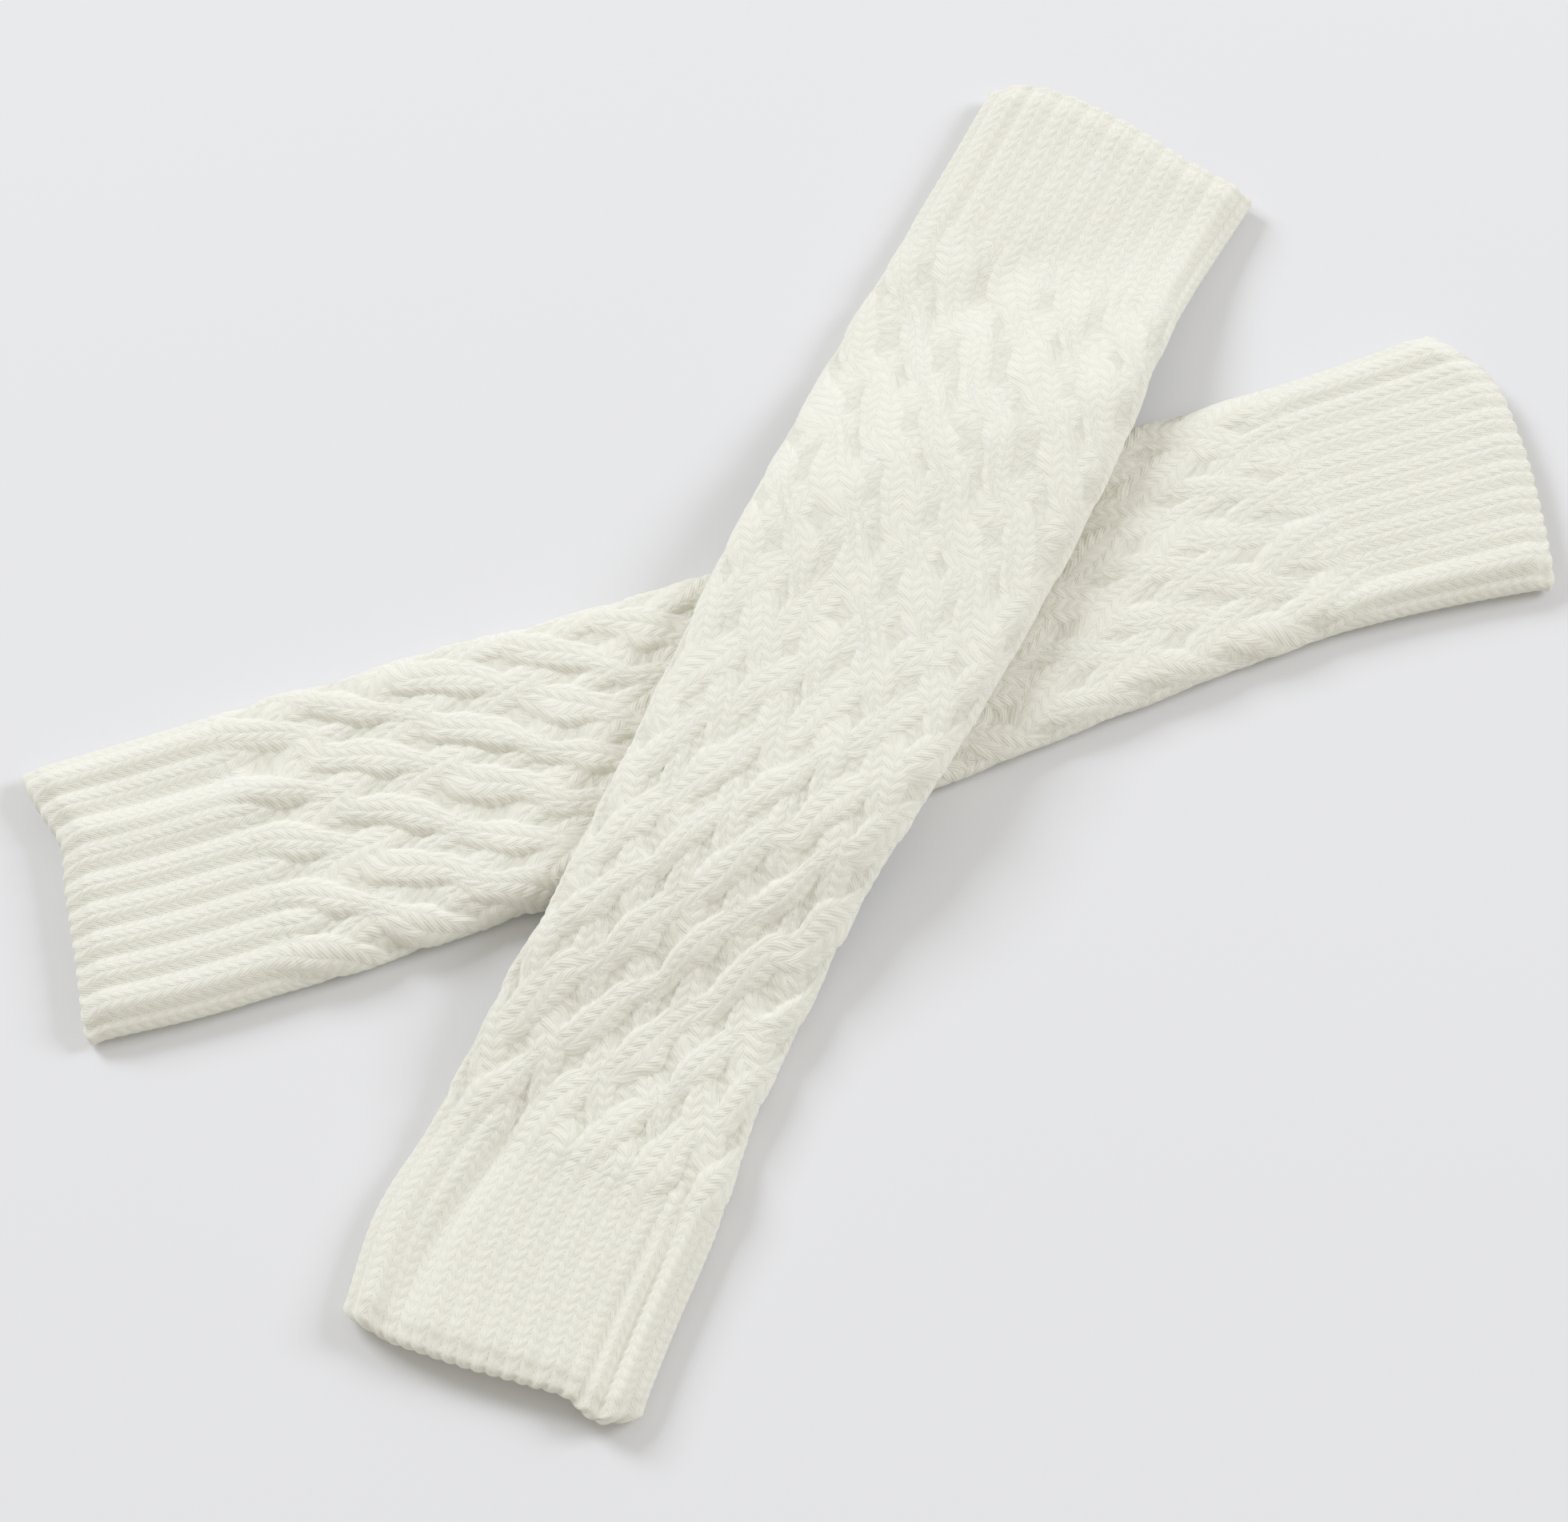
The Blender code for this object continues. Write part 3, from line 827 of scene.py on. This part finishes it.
@dataclass
class KnitShell:
    """One knitted shell of a leg warmer, as a closed surface that replaces a CAD solid.

    Its columns are close over the sides and the top, and its rings are close on the outside.
    """

    warmer: LegWarmer
    name: str
    node: str
    start: float
    end: float
    start_end: End
    far_end: End
    ring_step: float = 0.66 * MM
    inner_step: float = 11 * MM
    least_inner_rings: int = 3
    steps_per_rib: int = 16
    fine_ribs: float = 11.4
    plain_ribs: float = 8.0
    plain_columns: int = 9
    lip_reach: float = 1.9 * MM
    lip_steps: int = 6
    lip_lead: int = 3
    loop_depth: float = 0.4
    # painted shade: the light level of the whole inside, low enough to mix it towards the shade
    # colour
    inside_light_level: float = 0.35
    fold_axes: float = 11.5 * MM
    width_samples: int = 9

    def way_round(self) -> float:
        """Measures the shell's cut round the tube, from its mean width and its side folds.

        Returns:
            The way round, in metres.
        """
        samples = np.linspace(self.start, self.end, self.width_samples)
        width = float(np.mean(2 * self.warmer.half_width(samples)))
        return 2 * (width - 2 * self.warmer.fold_reach) + math.pi * self.fold_axes

    def columns(self) -> np.ndarray:
        """Spaces the shell's columns: the fine ones and then the plain ones underneath.

        Returns:
            Their places round, in ribs.
        """
        half, plain_half = self.fine_ribs / 2, self.plain_ribs / 2
        count = round(self.fine_ribs * self.steps_per_rib) + 1
        fine = np.linspace(RIBS / 2 - half, RIBS / 2 + half, count)
        plain = RIBS + np.linspace(-plain_half, plain_half, self.plain_columns)
        return np.concatenate([fine, plain])

    def rings(self) -> tuple[np.ndarray, np.ndarray, np.ndarray, KnitField]:
        """All rings of the shell, which close on themselves.

        The outside from the near end to the far one, the far lip, the inside back again and the
        near lip. Only a cast-on end has a lip.

        Returns:
            The points ring by ring, each ring's place along, a mask of the rings on the outside
            and the knitting of the outside.
        """
        columns = self.columns()
        length = self.end - self.start
        near_inset = self.lip_reach if self.start_end is End.CAST_ON else 0.0
        far_inset = self.lip_reach if self.far_end is End.CAST_ON else 0.0
        count = round(length / self.ring_step) + 1
        along = np.linspace(self.start + near_inset, self.end - far_inset, count)
        outer, knitted = self.warmer.outer_rings(columns, along)
        inner_count = max(self.least_inner_rings, round(length / self.inner_step) + 1)
        inner_along = np.linspace(along[-1], along[0], inner_count)
        inner = self.warmer.inner_rings(columns, inner_along)
        parts, places = [outer], [along]
        if self.far_end is End.CAST_ON:
            parts.append(self.lip(outer[-1], inner[0], outer[-1] - outer[-1 - self.lip_lead]))
            places.append(np.full(self.lip_steps, along[-1]))
        parts.append(inner)
        places.append(inner_along)
        if self.start_end is End.CAST_ON:
            parts.append(self.lip(outer[0], inner[-1], outer[0] - outer[self.lip_lead])[::-1])
            places.append(np.full(self.lip_steps, along[0]))
        points = np.concatenate(parts)
        outside = np.arange(len(points)) < len(outer)
        return points, np.concatenate(places), outside, knitted

    def lip(self, outer: np.ndarray, inner: np.ndarray, way: np.ndarray) -> np.ndarray:
        """Rings of a rounded cast-on edge, from the outside to the inside of the wall.

        Half an ellipse: the middle of the wall, plus half its thickness times the cosine, plus
        the way out times the sine. The edge is scalloped by the cast-on loops, one to a wale and
        so two to a rib.

        Args:
            outer: The outside's last ring.
            inner: The inside's last ring.
            way: For each column, the way that the wall runs out.

        Returns:
            The rings between the two.
        """
        flat = way * np.array([1.0, 1.0, 0.0])
        flat = flat / np.linalg.norm(flat, axis=-1, keepdims=True)
        loops = np.abs(np.sin(2 * math.pi * self.columns()))[:, None]
        flat = flat * (1 - self.loop_depth * (1 - loops))
        angle = math.pi * (np.arange(self.lip_steps) + 1) / (self.lip_steps + 1)
        middle, half = 0.5 * (outer + inner), 0.5 * (outer - inner)
        cosine = np.cos(angle)[:, None, None]
        sine = np.sin(angle)[:, None, None]
        return middle + half * cosine + flat * self.lip_reach * sine

    def build(self) -> bpy.types.Object:
        """Makes the mesh, its stitch map and its painted shade attribute, and links the object.

        Returns:
            The shell's object.
        """
        points, place, outside, knitted = self.rings()
        rows, count = points.shape[:2]
        index = np.arange(rows * count).reshape(rows, count)
        below, right = np.roll(index, -1, axis=0), np.roll(index, -1, axis=1)
        corner = np.roll(below, -1, axis=1)
        faces = np.stack([index, right, corner, below], axis=-1).reshape(-1, 4)
        mesh = bpy.data.meshes.new(self.name)
        mesh.vertices.add(rows * count)
        mesh.vertices.foreach_set("co", points.ravel())
        mesh.loops.add(faces.size)
        mesh.loops.foreach_set("vertex_index", faces.ravel())
        mesh.polygons.add(len(faces))
        mesh.polygons.foreach_set("loop_start", np.arange(0, faces.size, 4))
        mesh.polygons.foreach_set("use_smooth", np.ones(len(faces), dtype=bool))
        mesh.update(calc_edges=True)
        self.map_stitches(mesh, place, outside)
        # painted shade: the inside takes a low light level, the outside takes the knitting's
        depth = np.full((rows, count), self.inside_light_level)
        depth[outside] = knitted.depth
        attribute = mesh.attributes.new("depth", "FLOAT", "POINT")
        attribute.data.foreach_set("value", depth.ravel())
        self.sharpen_cut_ends(mesh, outside, count)
        piece = bpy.data.objects.new(self.name, mesh)
        bpy.context.collection.objects.link(piece)
        return piece

    def map_stitches(self, mesh: bpy.types.Mesh, place: np.ndarray, outside: np.ndarray) -> None:
        """Writes the UV map "stitches": wales across and courses along.

        Each face takes the wales that lie on top at its middle, and all four of its corners are
        measured on those, so the map never stretches over the groove between two strands.

        Args:
            mesh: The shell's mesh, with its faces in rings.
            place: Each ring's place along.
            outside: Mask of the rings on the outside.
        """
        columns = self.columns()
        next_columns = np.append(columns[1:], columns[0] + RIBS)
        next_place = np.roll(place, -1)
        middle_columns, middle_place = 0.5 * (columns + next_columns), 0.5 * (place + next_place)
        middle_ribs, middle_along = np.meshgrid(middle_columns, middle_place)
        knitted = self.warmer.knit_at(middle_ribs, middle_along)
        inside = ~outside[:, None]
        lean = np.where(inside, 0, knitted.lean)
        strand = np.where(inside, np.round(middle_ribs), knitted.strand)
        sides = (columns, next_columns, next_columns, columns)
        ends = (place, place, next_place, next_place)
        maps = []
        for corner in zip(sides, ends):
            ribs, along = np.meshgrid(*corner)
            maps.append(np.stack(self.warmer.stitch_places(ribs, along, lean, strand), axis=-1))
        layer = mesh.uv_layers.new(name="stitches")
        layer.data.foreach_set("uv", np.stack(maps, axis=2).ravel())

    def sharpen_cut_ends(self, mesh: bpy.types.Mesh, outside: np.ndarray, count: int) -> None:
        """Marks the edges round a cut end as sharp, so its shading runs on into the next shell.

        Args:
            mesh: The shell's mesh.
            outside: Mask of the rings on the outside.
            count: Number of columns.
        """
        last = int(outside.sum()) - 1
        rings = []
        if self.start_end is End.JOINED:
            rings += [0, len(outside) - 1]
        if self.far_end is End.JOINED:
            rings += [last, last + 1]
        vertices = np.empty(2 * len(mesh.edges), dtype=np.int32)
        mesh.edges.foreach_get("vertices", vertices)
        ring_of = vertices.reshape(-1, 2) // count
        sharp = (ring_of[:, 0] == ring_of[:, 1]) & np.isin(ring_of[:, 0], rings)
        attribute = mesh.attributes.new("sharp_edge", "BOOLEAN", "EDGE")
        attribute.data.foreach_set("value", sharp)


@dataclass(frozen=True)
class SpunYarn:
    """Ivory wool-blend yarn, softly spun in plies and knitted at a loose gauge.

    To the eye it is matt and a little furry: a pale, warm off-white, with painted shade that goes
    greyer and greener in the grooves, a soft bright bloom at grazing angles, and fine slanting
    plies on each stitch.
    """

    name: str = "spun_ivory_yarn"
    light: str = "#F3F1E7"
    # painted shade: the colour that low places and the inside of the tube are mixed towards
    shade: str = "#E7E5D8"
    tint: str = "#F0EEE0"
    # painted shade: light levels below this are mixed towards the shade colour, fully at 0
    groove_level: float = 0.45
    # painted shade: the colour's factor in the grooves between stitch legs, reaching 1 at this
    # stitch level
    groove_dimming: float = 0.96
    stitch_level: float = 0.6
    mottle_size: float = 14 * MM
    roughness: float = 0.88
    roughness_spread: float = 0.06
    sheen: float = 0.25
    sheen_roughness: float = 0.5
    specular: float = 0.25
    glow: float = 0.14
    glow_tint: tuple[float, float, float] = (1.0, 0.9, 0.7)
    glow_depth: float = 1.2 * MM
    slant: float = 1.5
    leg_roundness: float = 0.55
    stitch_depth: float = 0.13 * MM
    ply_slant: float = 3.0
    plies_per_course: float = 2.4
    ply_depth: float = 0.06 * MM
    fibres_per_wale: float = 9.0
    fibre_depth: float = 0.08 * MM
    fluff_size: float = 0.9 * MM
    fluff_depth: float = 0.2 * MM

    def add_sums(
        self, tree: bpy.types.NodeTree, wale: bpy.types.NodeSocket, course: bpy.types.NodeSocket
    ) -> dict[str, bpy.types.NodeSocket]:
        """Adds the arithmetic that draws the legs and plies of a stitch.

        Each sum has a name, an operation, and operands that are numbers or the names of others.

        Args:
            tree: The material's node tree.
            wale: The place across, in wales.
            course: The place along, in courses.

        Returns:
            The outgoing socket of each sum by its name.
        """
        sums = (
            # distance from the wale's groove, folded so that both legs of a stitch mirror
            ("fold", "PINGPONG", ("wale", 0.5)),
            # a half circle over each leg of the stitch, which is half a wale wide
            ("off", "MULTIPLY_ADD", ("fold", 4.0, -1.0)),
            ("square", "MULTIPLY", ("off", "off")),
            ("rest", "SUBTRACT", (1.0, "square")),
            ("across", "POWER", ("rest", 0.5)),
            # the legs climb towards the grooves, so a pair of them makes a V
            ("climb", "MULTIPLY_ADD", ("fold", self.slant, "course")),
            ("climb_turn", "MULTIPLY", ("climb", 2 * math.pi)),
            ("climb_wave", "SINE", ("climb_turn",)),
            ("raised", "MULTIPLY_ADD", ("climb_wave", -0.5, 0.5)),
            ("rounded", "POWER", ("raised", self.leg_roundness)),
            ("stitch", "MULTIPLY", ("across", "rounded")),
            # the plies slant more steeply across each leg
            ("lean", "MULTIPLY", ("fold", self.ply_slant)),
            ("ply_place", "ADD", ("course", "lean")),
            ("ply_turn", "MULTIPLY", ("ply_place", 2 * math.pi * self.plies_per_course)),
            ("ply", "SINE", ("ply_turn",)),
        )
        sockets = {"wale": wale, "course": course}
        for name, operation, operands in sums:
            numbers = {i: v for i, v in enumerate(operands) if not isinstance(v, str)}
            links = {i: sockets[v] for i, v in enumerate(operands) if isinstance(v, str)}
            node = add_node(tree, "ShaderNodeMath", {"operation": operation, **numbers}, links)
            sockets[name] = node.outputs[0]
        return sockets

    def build(self) -> bpy.types.Material:
        """Makes the material.

        Returns:
            The yarn material.
        """
        material = bpy.data.materials.new(self.name)
        material.use_nodes = True
        tree = material.node_tree
        shader = tree.nodes["Principled BSDF"]
        uv = add_node(tree, "ShaderNodeUVMap", {"uv_map": "stitches"})
        split = add_node(tree, "ShaderNodeSeparateXYZ", links={0: uv.outputs["UV"]})
        sums = self.add_sums(tree, split.outputs[0], split.outputs[1])
        place = add_node(tree, "ShaderNodeTexCoord").outputs["Object"]
        # painted shade: the light level of each point, lower in grooves and on the inside
        depth = add_node(tree, "ShaderNodeAttribute", {"attribute_name": "depth"})
        fibre_links = {0: sums["fold"], 1: sums["ply_place"]}
        fibre_place = add_node(tree, "ShaderNodeCombineXYZ", links=fibre_links).outputs[0]
        # fibres run along the plies, fluff stands anywhere, and the dye is a little mottled
        noise = {}
        for name, vector, scale, detail, roughness, distortion in (
            ("fibre", fibre_place, self.fibres_per_wale, 4.0, 0.6, 0.3),
            ("fluff", place, 1 / self.fluff_size, 3.0, 0.6, 0.0),
            ("mottle", place, 1 / self.mottle_size, 2.0, 0.5, 0.0),
        ):
            grain = {"Scale": scale, "Detail": detail, "Roughness": roughness}
            grain["Distortion"] = distortion
            node = add_node(tree, "ShaderNodeTexNoise", grain, {"Vector": vector})
            noise[name] = node.outputs["Fac"]
        low, high = self.roughness - self.roughness_spread, self.roughness + self.roughness_spread
        level = {}
        # groove and dimming set painted shade, rough sets the roughness
        for name, value, top, start, end, curve in (
            ("groove", depth.outputs["Fac"], self.groove_level, 1.0, 0.0, "SMOOTHSTEP"),
            ("dimming", sums["stitch"], self.stitch_level, self.groove_dimming, 1.0, "LINEAR"),
            ("rough", noise["fluff"], 1.0, low, high, "LINEAR"),
        ):
            span = {"From Max": top, "To Min": start, "To Max": end, "interpolation_type": curve}
            level[name] = add_node(tree, "ShaderNodeMapRange", span, {"Value": value}).outputs[0]
        warm = add_node(
            tree,
            "ShaderNodeMix",
            {"data_type": "RGBA", 6: hex_to_linear(self.light), 7: hex_to_linear(self.tint)},
            {0: noise["mottle"]},
        )
        # painted shade: the mottled yarn colour mixed towards the shade colour where the light
        # level is low
        colour = add_node(
            tree,
            "ShaderNodeMix",
            {"data_type": "RGBA", 7: hex_to_linear(self.shade)},
            {0: level["groove"], 6: warm.outputs[2]},
        )
        # painted shade: the colour is dimmed in the grooves between the legs of each stitch
        yarn = add_node(
            tree,
            "ShaderNodeMix",
            {"data_type": "RGBA", "blend_type": "MULTIPLY", 0: 1.0},
            {6: colour.outputs[2], 7: level["dimming"]},
        )
        # one relief on the other, from the stitch down to the fluff
        normal = {}
        for height, strength, distance in (
            (sums["stitch"], 0.8, self.stitch_depth),
            (sums["ply"], 0.5, self.ply_depth),
            (noise["fibre"], 0.7, self.fibre_depth),
            (noise["fluff"], 0.7, self.fluff_depth),
        ):
            settings = {"Strength": strength, "Distance": distance}
            bump = add_node(tree, "ShaderNodeBump", settings, {"Height": height, **normal})
            normal = {"Normal": bump.outputs[0]}
        tree.links.new(yarn.outputs[2], shader.inputs["Base Color"])
        tree.links.new(level["rough"], shader.inputs["Roughness"])
        tree.links.new(normal["Normal"], shader.inputs["Normal"])
        for socket, value in {
            "Metallic": 0.0,
            "Specular IOR Level": self.specular,
            "Sheen Weight": self.sheen,
            "Sheen Roughness": self.sheen_roughness,
            "Subsurface Weight": self.glow,
            "Subsurface Radius": self.glow_tint,
            "Subsurface Scale": self.glow_depth,
        }.items():
            shader.inputs[socket].default_value = value
        return material


@dataclass(frozen=True)
class MattBoard:
    """White studio board with a dead-matt painted face, on which only soft shadows show."""

    name: str = "matt_white_board"
    colour: str = "#EAEAEB"
    roughness: float = 0.9
    specular: float = 0.1

    def build(self) -> bpy.types.Material:
        """Makes the material.

        Returns:
            The floor's material.
        """
        material = bpy.data.materials.new(self.name)
        material.use_nodes = True
        shader = material.node_tree.nodes["Principled BSDF"]
        shader.inputs["Base Color"].default_value = hex_to_linear(self.colour)
        shader.inputs["Roughness"].default_value = self.roughness
        shader.inputs["Specular IOR Level"].default_value = self.specular
        return material


@dataclass
class Studio:
    """Plain pale floor, a pale sky with two soft lamps, and the camera."""

    aim: tuple[float, float, float] = (-2.90 * MM, -10.76 * MM, 0.0)
    rise: float = math.radians(61.1)
    distance: float = 1.640
    lens: float = 137.88
    sensor: float = 36.0
    sight: float = 50.0
    floor_half: float = 4.0
    sky: str = "#FFFCF3"
    sky_strength: float = 0.53
    left_from: tuple[float, float, float] = (-0.766, 0.643, 0.675)
    right_from: tuple[float, float, float] = (0.966, 0.259, 0.625)
    lamp_distance: float = 5.0
    lamp_size: float = 2.0
    lamp_colour: str = "#F0F4FF"
    left_power: float = 135.0
    right_power: float = 103.0
    finish: MattBoard = field(default_factory=MattBoard)

    def build_floor(self) -> bpy.types.Object:
        """Makes the floor, a square plane at height 0.

        Returns:
            The floor object.
        """
        half = self.floor_half
        corners = [(-half, -half, 0.0), (half, -half, 0.0), (half, half, 0.0), (-half, half, 0.0)]
        mesh = bpy.data.meshes.new("studio_floor")
        mesh.from_pydata(corners, [], [(0, 1, 2, 3)])
        mesh.materials.append(self.finish.build())
        floor = bpy.data.objects.new("studio_floor", mesh)
        bpy.context.collection.objects.link(floor)
        return floor

    def build_light(self) -> None:
        """Lights the scene: an even pale sky, a lamp from behind left and one from the right."""
        world = bpy.data.worlds.new("studio_sky")
        bpy.context.scene.world = world
        world.use_nodes = True
        background = world.node_tree.nodes["Background"]
        background.inputs["Color"].default_value = hex_to_linear(self.sky)
        background.inputs["Strength"].default_value = self.sky_strength
        self.add_lamp("left_lamp", self.left_from, self.left_power)
        self.add_lamp("right_lamp", self.right_from, self.right_power)

    def add_lamp(self, name: str, way: tuple[float, float, float], power: float) -> None:
        """Adds one square soft lamp that faces the middle of the pair.

        Args:
            name: Name of the lamp.
            way: Direction from the middle towards the lamp.
            power: Power in watts.
        """
        data = bpy.data.lights.new(name, "AREA")
        data.shape = "SQUARE"
        data.size = self.lamp_size
        data.energy = power
        data.color = hex_to_linear(self.lamp_colour)[:3]
        lamp = bpy.data.objects.new(name, data)
        direction = Vector(way).normalized()
        lamp.location = direction * self.lamp_distance
        lamp.rotation_euler = direction.to_track_quat("Z", "Y").to_euler()
        bpy.context.collection.objects.link(lamp)

    def build_camera(self) -> None:
        """Sets the camera at the viewing angle, on a long lens."""
        data = bpy.data.cameras.new("view")
        data.lens = self.lens
        data.sensor_width = self.sensor
        data.clip_end = self.sight
        camera = bpy.data.objects.new("view", data)
        back = Vector((0.0, -math.cos(self.rise), math.sin(self.rise)))
        camera.location = Vector(self.aim) + back * self.distance
        camera.rotation_euler = (math.pi / 2 - self.rise, 0.0, 0.0)
        bpy.context.collection.objects.link(camera)
        bpy.context.scene.camera = camera


UNDER = LegWarmer(
    name="under",
    centre=(-0.9 * MM, 11.8 * MM),
    turn=math.radians(19.8),
    near_seam=-154 * MM,
    far_seam=155 * MM,
    stations=(
        Station(-210, 1.5, 81),
        Station(-182, 0.0, 84),
        Station(-145, -0.6, 84),
        Station(-84, -1.0, 82),
        Station(-24, -2.5, 81),
        Station(25, -2.0, 83),
        Station(68, 0.5, 82),
        Station(117, 3.2, 80),
        Station(155, 3.2, 78),
        Station(210, 1.0, 85),
    ),
    near_edge=(
        EdgePoint(-1.0, 4.0),
        EdgePoint(-0.5, 0.0),
        EdgePoint(0.1, -4.0),
        EdgePoint(0.4, -6.5),
        EdgePoint(0.7, -4.0),
        EdgePoint(1.0, -2.0),
    ),
    far_edge=(
        EdgePoint(-1.0, 0.0),
        EdgePoint(-0.5, 5.0),
        EdgePoint(0.1, 9.0),
        EdgePoint(0.6, 8.5),
        EdgePoint(1.0, -1.0),
    ),
    creases=(
        Crease(-245, -115, 0.40, 0.26, 4.5, 1.4),
        Crease(-204, -132, 0.60, 0.52, 5.5, -1.3),
        Crease(-150, -66, -0.12, -0.42, 6.0, -1.0),
        Crease(96, 200, -0.60, -0.72, 6.0, -0.9),
        Crease(70, 128, 0.52, 0.30, 7.0, -1.1),
    ),
    patches=(Patch(-105, 0.0, 75, Lean.RIGHT, 0.65),),
    near_ribs=0.75,
    far_ribs=0.14,
    near_loft=0.82,
    far_loft=0.42,
    phase=0.7,
)

OVER = LegWarmer(
    name="over",
    centre=(8.3 * MM, -3.6 * MM),
    turn=math.radians(65.4),
    near_seam=-148 * MM,
    far_seam=158 * MM,
    stations=(
        Station(-210, 1.0, 80),
        Station(-178, 4.6, 83),
        Station(-150, 4.2, 79),
        Station(-116, 5.8, 73),
        Station(-80, 5.6, 71),
        Station(-42, 5.2, 73),
        Station(-8, 3.8, 79),
        Station(55, 3.0, 86),
        Station(120, 3.6, 87),
        Station(162, 4.2, 81),
        Station(210, 2.0, 81),
    ),
    near_edge=(
        EdgePoint(-1.0, -4.0),
        EdgePoint(-0.87, 0.0),
        EdgePoint(-0.75, 0.5),
        EdgePoint(-0.58, -2.0),
        EdgePoint(-0.3, -1.0),
        EdgePoint(0.2, 1.6),
        EdgePoint(0.7, 2.4),
        EdgePoint(1.0, 1.0),
    ),
    far_edge=(
        EdgePoint(-1.0, 0.0),
        EdgePoint(-0.5, 3.0),
        EdgePoint(0.0, 7.5),
        EdgePoint(0.5, 9.5),
        EdgePoint(0.8, 8.0),
        EdgePoint(1.0, 3.5),
    ),
    creases=(
        Crease(-225, -125, 0.70, 0.42, 4.0, -2.4),
        Crease(-260, -132, -0.66, -0.66, 1.9, -1.8),
        Crease(-260, -136, -0.74, -0.73, 2.2, 1.0),
        Crease(-260, -132, -0.81, -0.79, 1.8, -2.2),
        Crease(-30, 46, -0.10, 0.34, 7.0, -1.0),
        Crease(92, 150, -0.20, -0.62, 7.0, -1.3),
        Crease(128, 172, 0.38, 0.06, 6.0, -1.0),
    ),
    patches=(
        Patch(-75, -12, 65, Lean.RIGHT, 0.6),
        Patch(105, 5, 80, Lean.LEFT, 1.0),
    ),
    near_ribs=0.2,
    far_ribs=0.3,
    near_loft=0.74,
    far_loft=0.32,
    near_recess=3.5 * MM,
    droop=0.2,
    phase=2.9,
    bridged=UNDER,
)


def shells_of(warmer: LegWarmer, near_cuff: str, far_cuff: str) -> list[KnitShell]:
    """The three shells of a leg warmer.

    Args:
        warmer: The leg warmer.
        near_cuff: Label of its near cuff.
        far_cuff: Label of its far cuff.

    Returns:
        Near cuff, leg and far cuff.
    """
    near, far = f"{warmer.name}_{near_cuff}", f"{warmer.name}_{far_cuff}"
    near_end, near_seam = warmer.near_end, warmer.near_seam
    far_seam, far_end = warmer.far_seam, warmer.far_end
    leg, node = f"{warmer.name}_leg_cables", f"{warmer.name}_cable_leg"
    cast_on, joined = End.CAST_ON, End.JOINED
    return [
        KnitShell(warmer, f"{near}_ribbing", f"{near}_cuff", near_end, near_seam, cast_on, joined),
        KnitShell(warmer, leg, node, near_seam, far_seam, joined, joined),
        KnitShell(warmer, f"{far}_ribbing", f"{far}_cuff", far_seam, far_end, joined, cast_on),
    ]


def main() -> None:
    """Builds the studio and the six knitted shells, attaches each to the root and hides the part it
    replaces.
    """
    logging.basicConfig(level=logging.INFO, format="%(name)s: %(message)s")
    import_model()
    studio = Studio()
    studio.build_camera()
    studio.build_light()
    studio.build_floor()
    bpy.context.scene.view_settings.view_transform = "Standard"
    yarn = SpunYarn().build()
    shells = shells_of(UNDER, "left", "right") + shells_of(OVER, "lower", "upper")
    for shell in shells:
        piece = shell.build()
        piece.data.materials.append(yarn)
        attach(piece, "root")
        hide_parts(shell.node)
        turn = shell.way_round()
        LOG.info("%s: %d faces, replaces %s", piece.name, len(piece.data.polygons), shell.node)


if __name__ == "__main__":
    main()
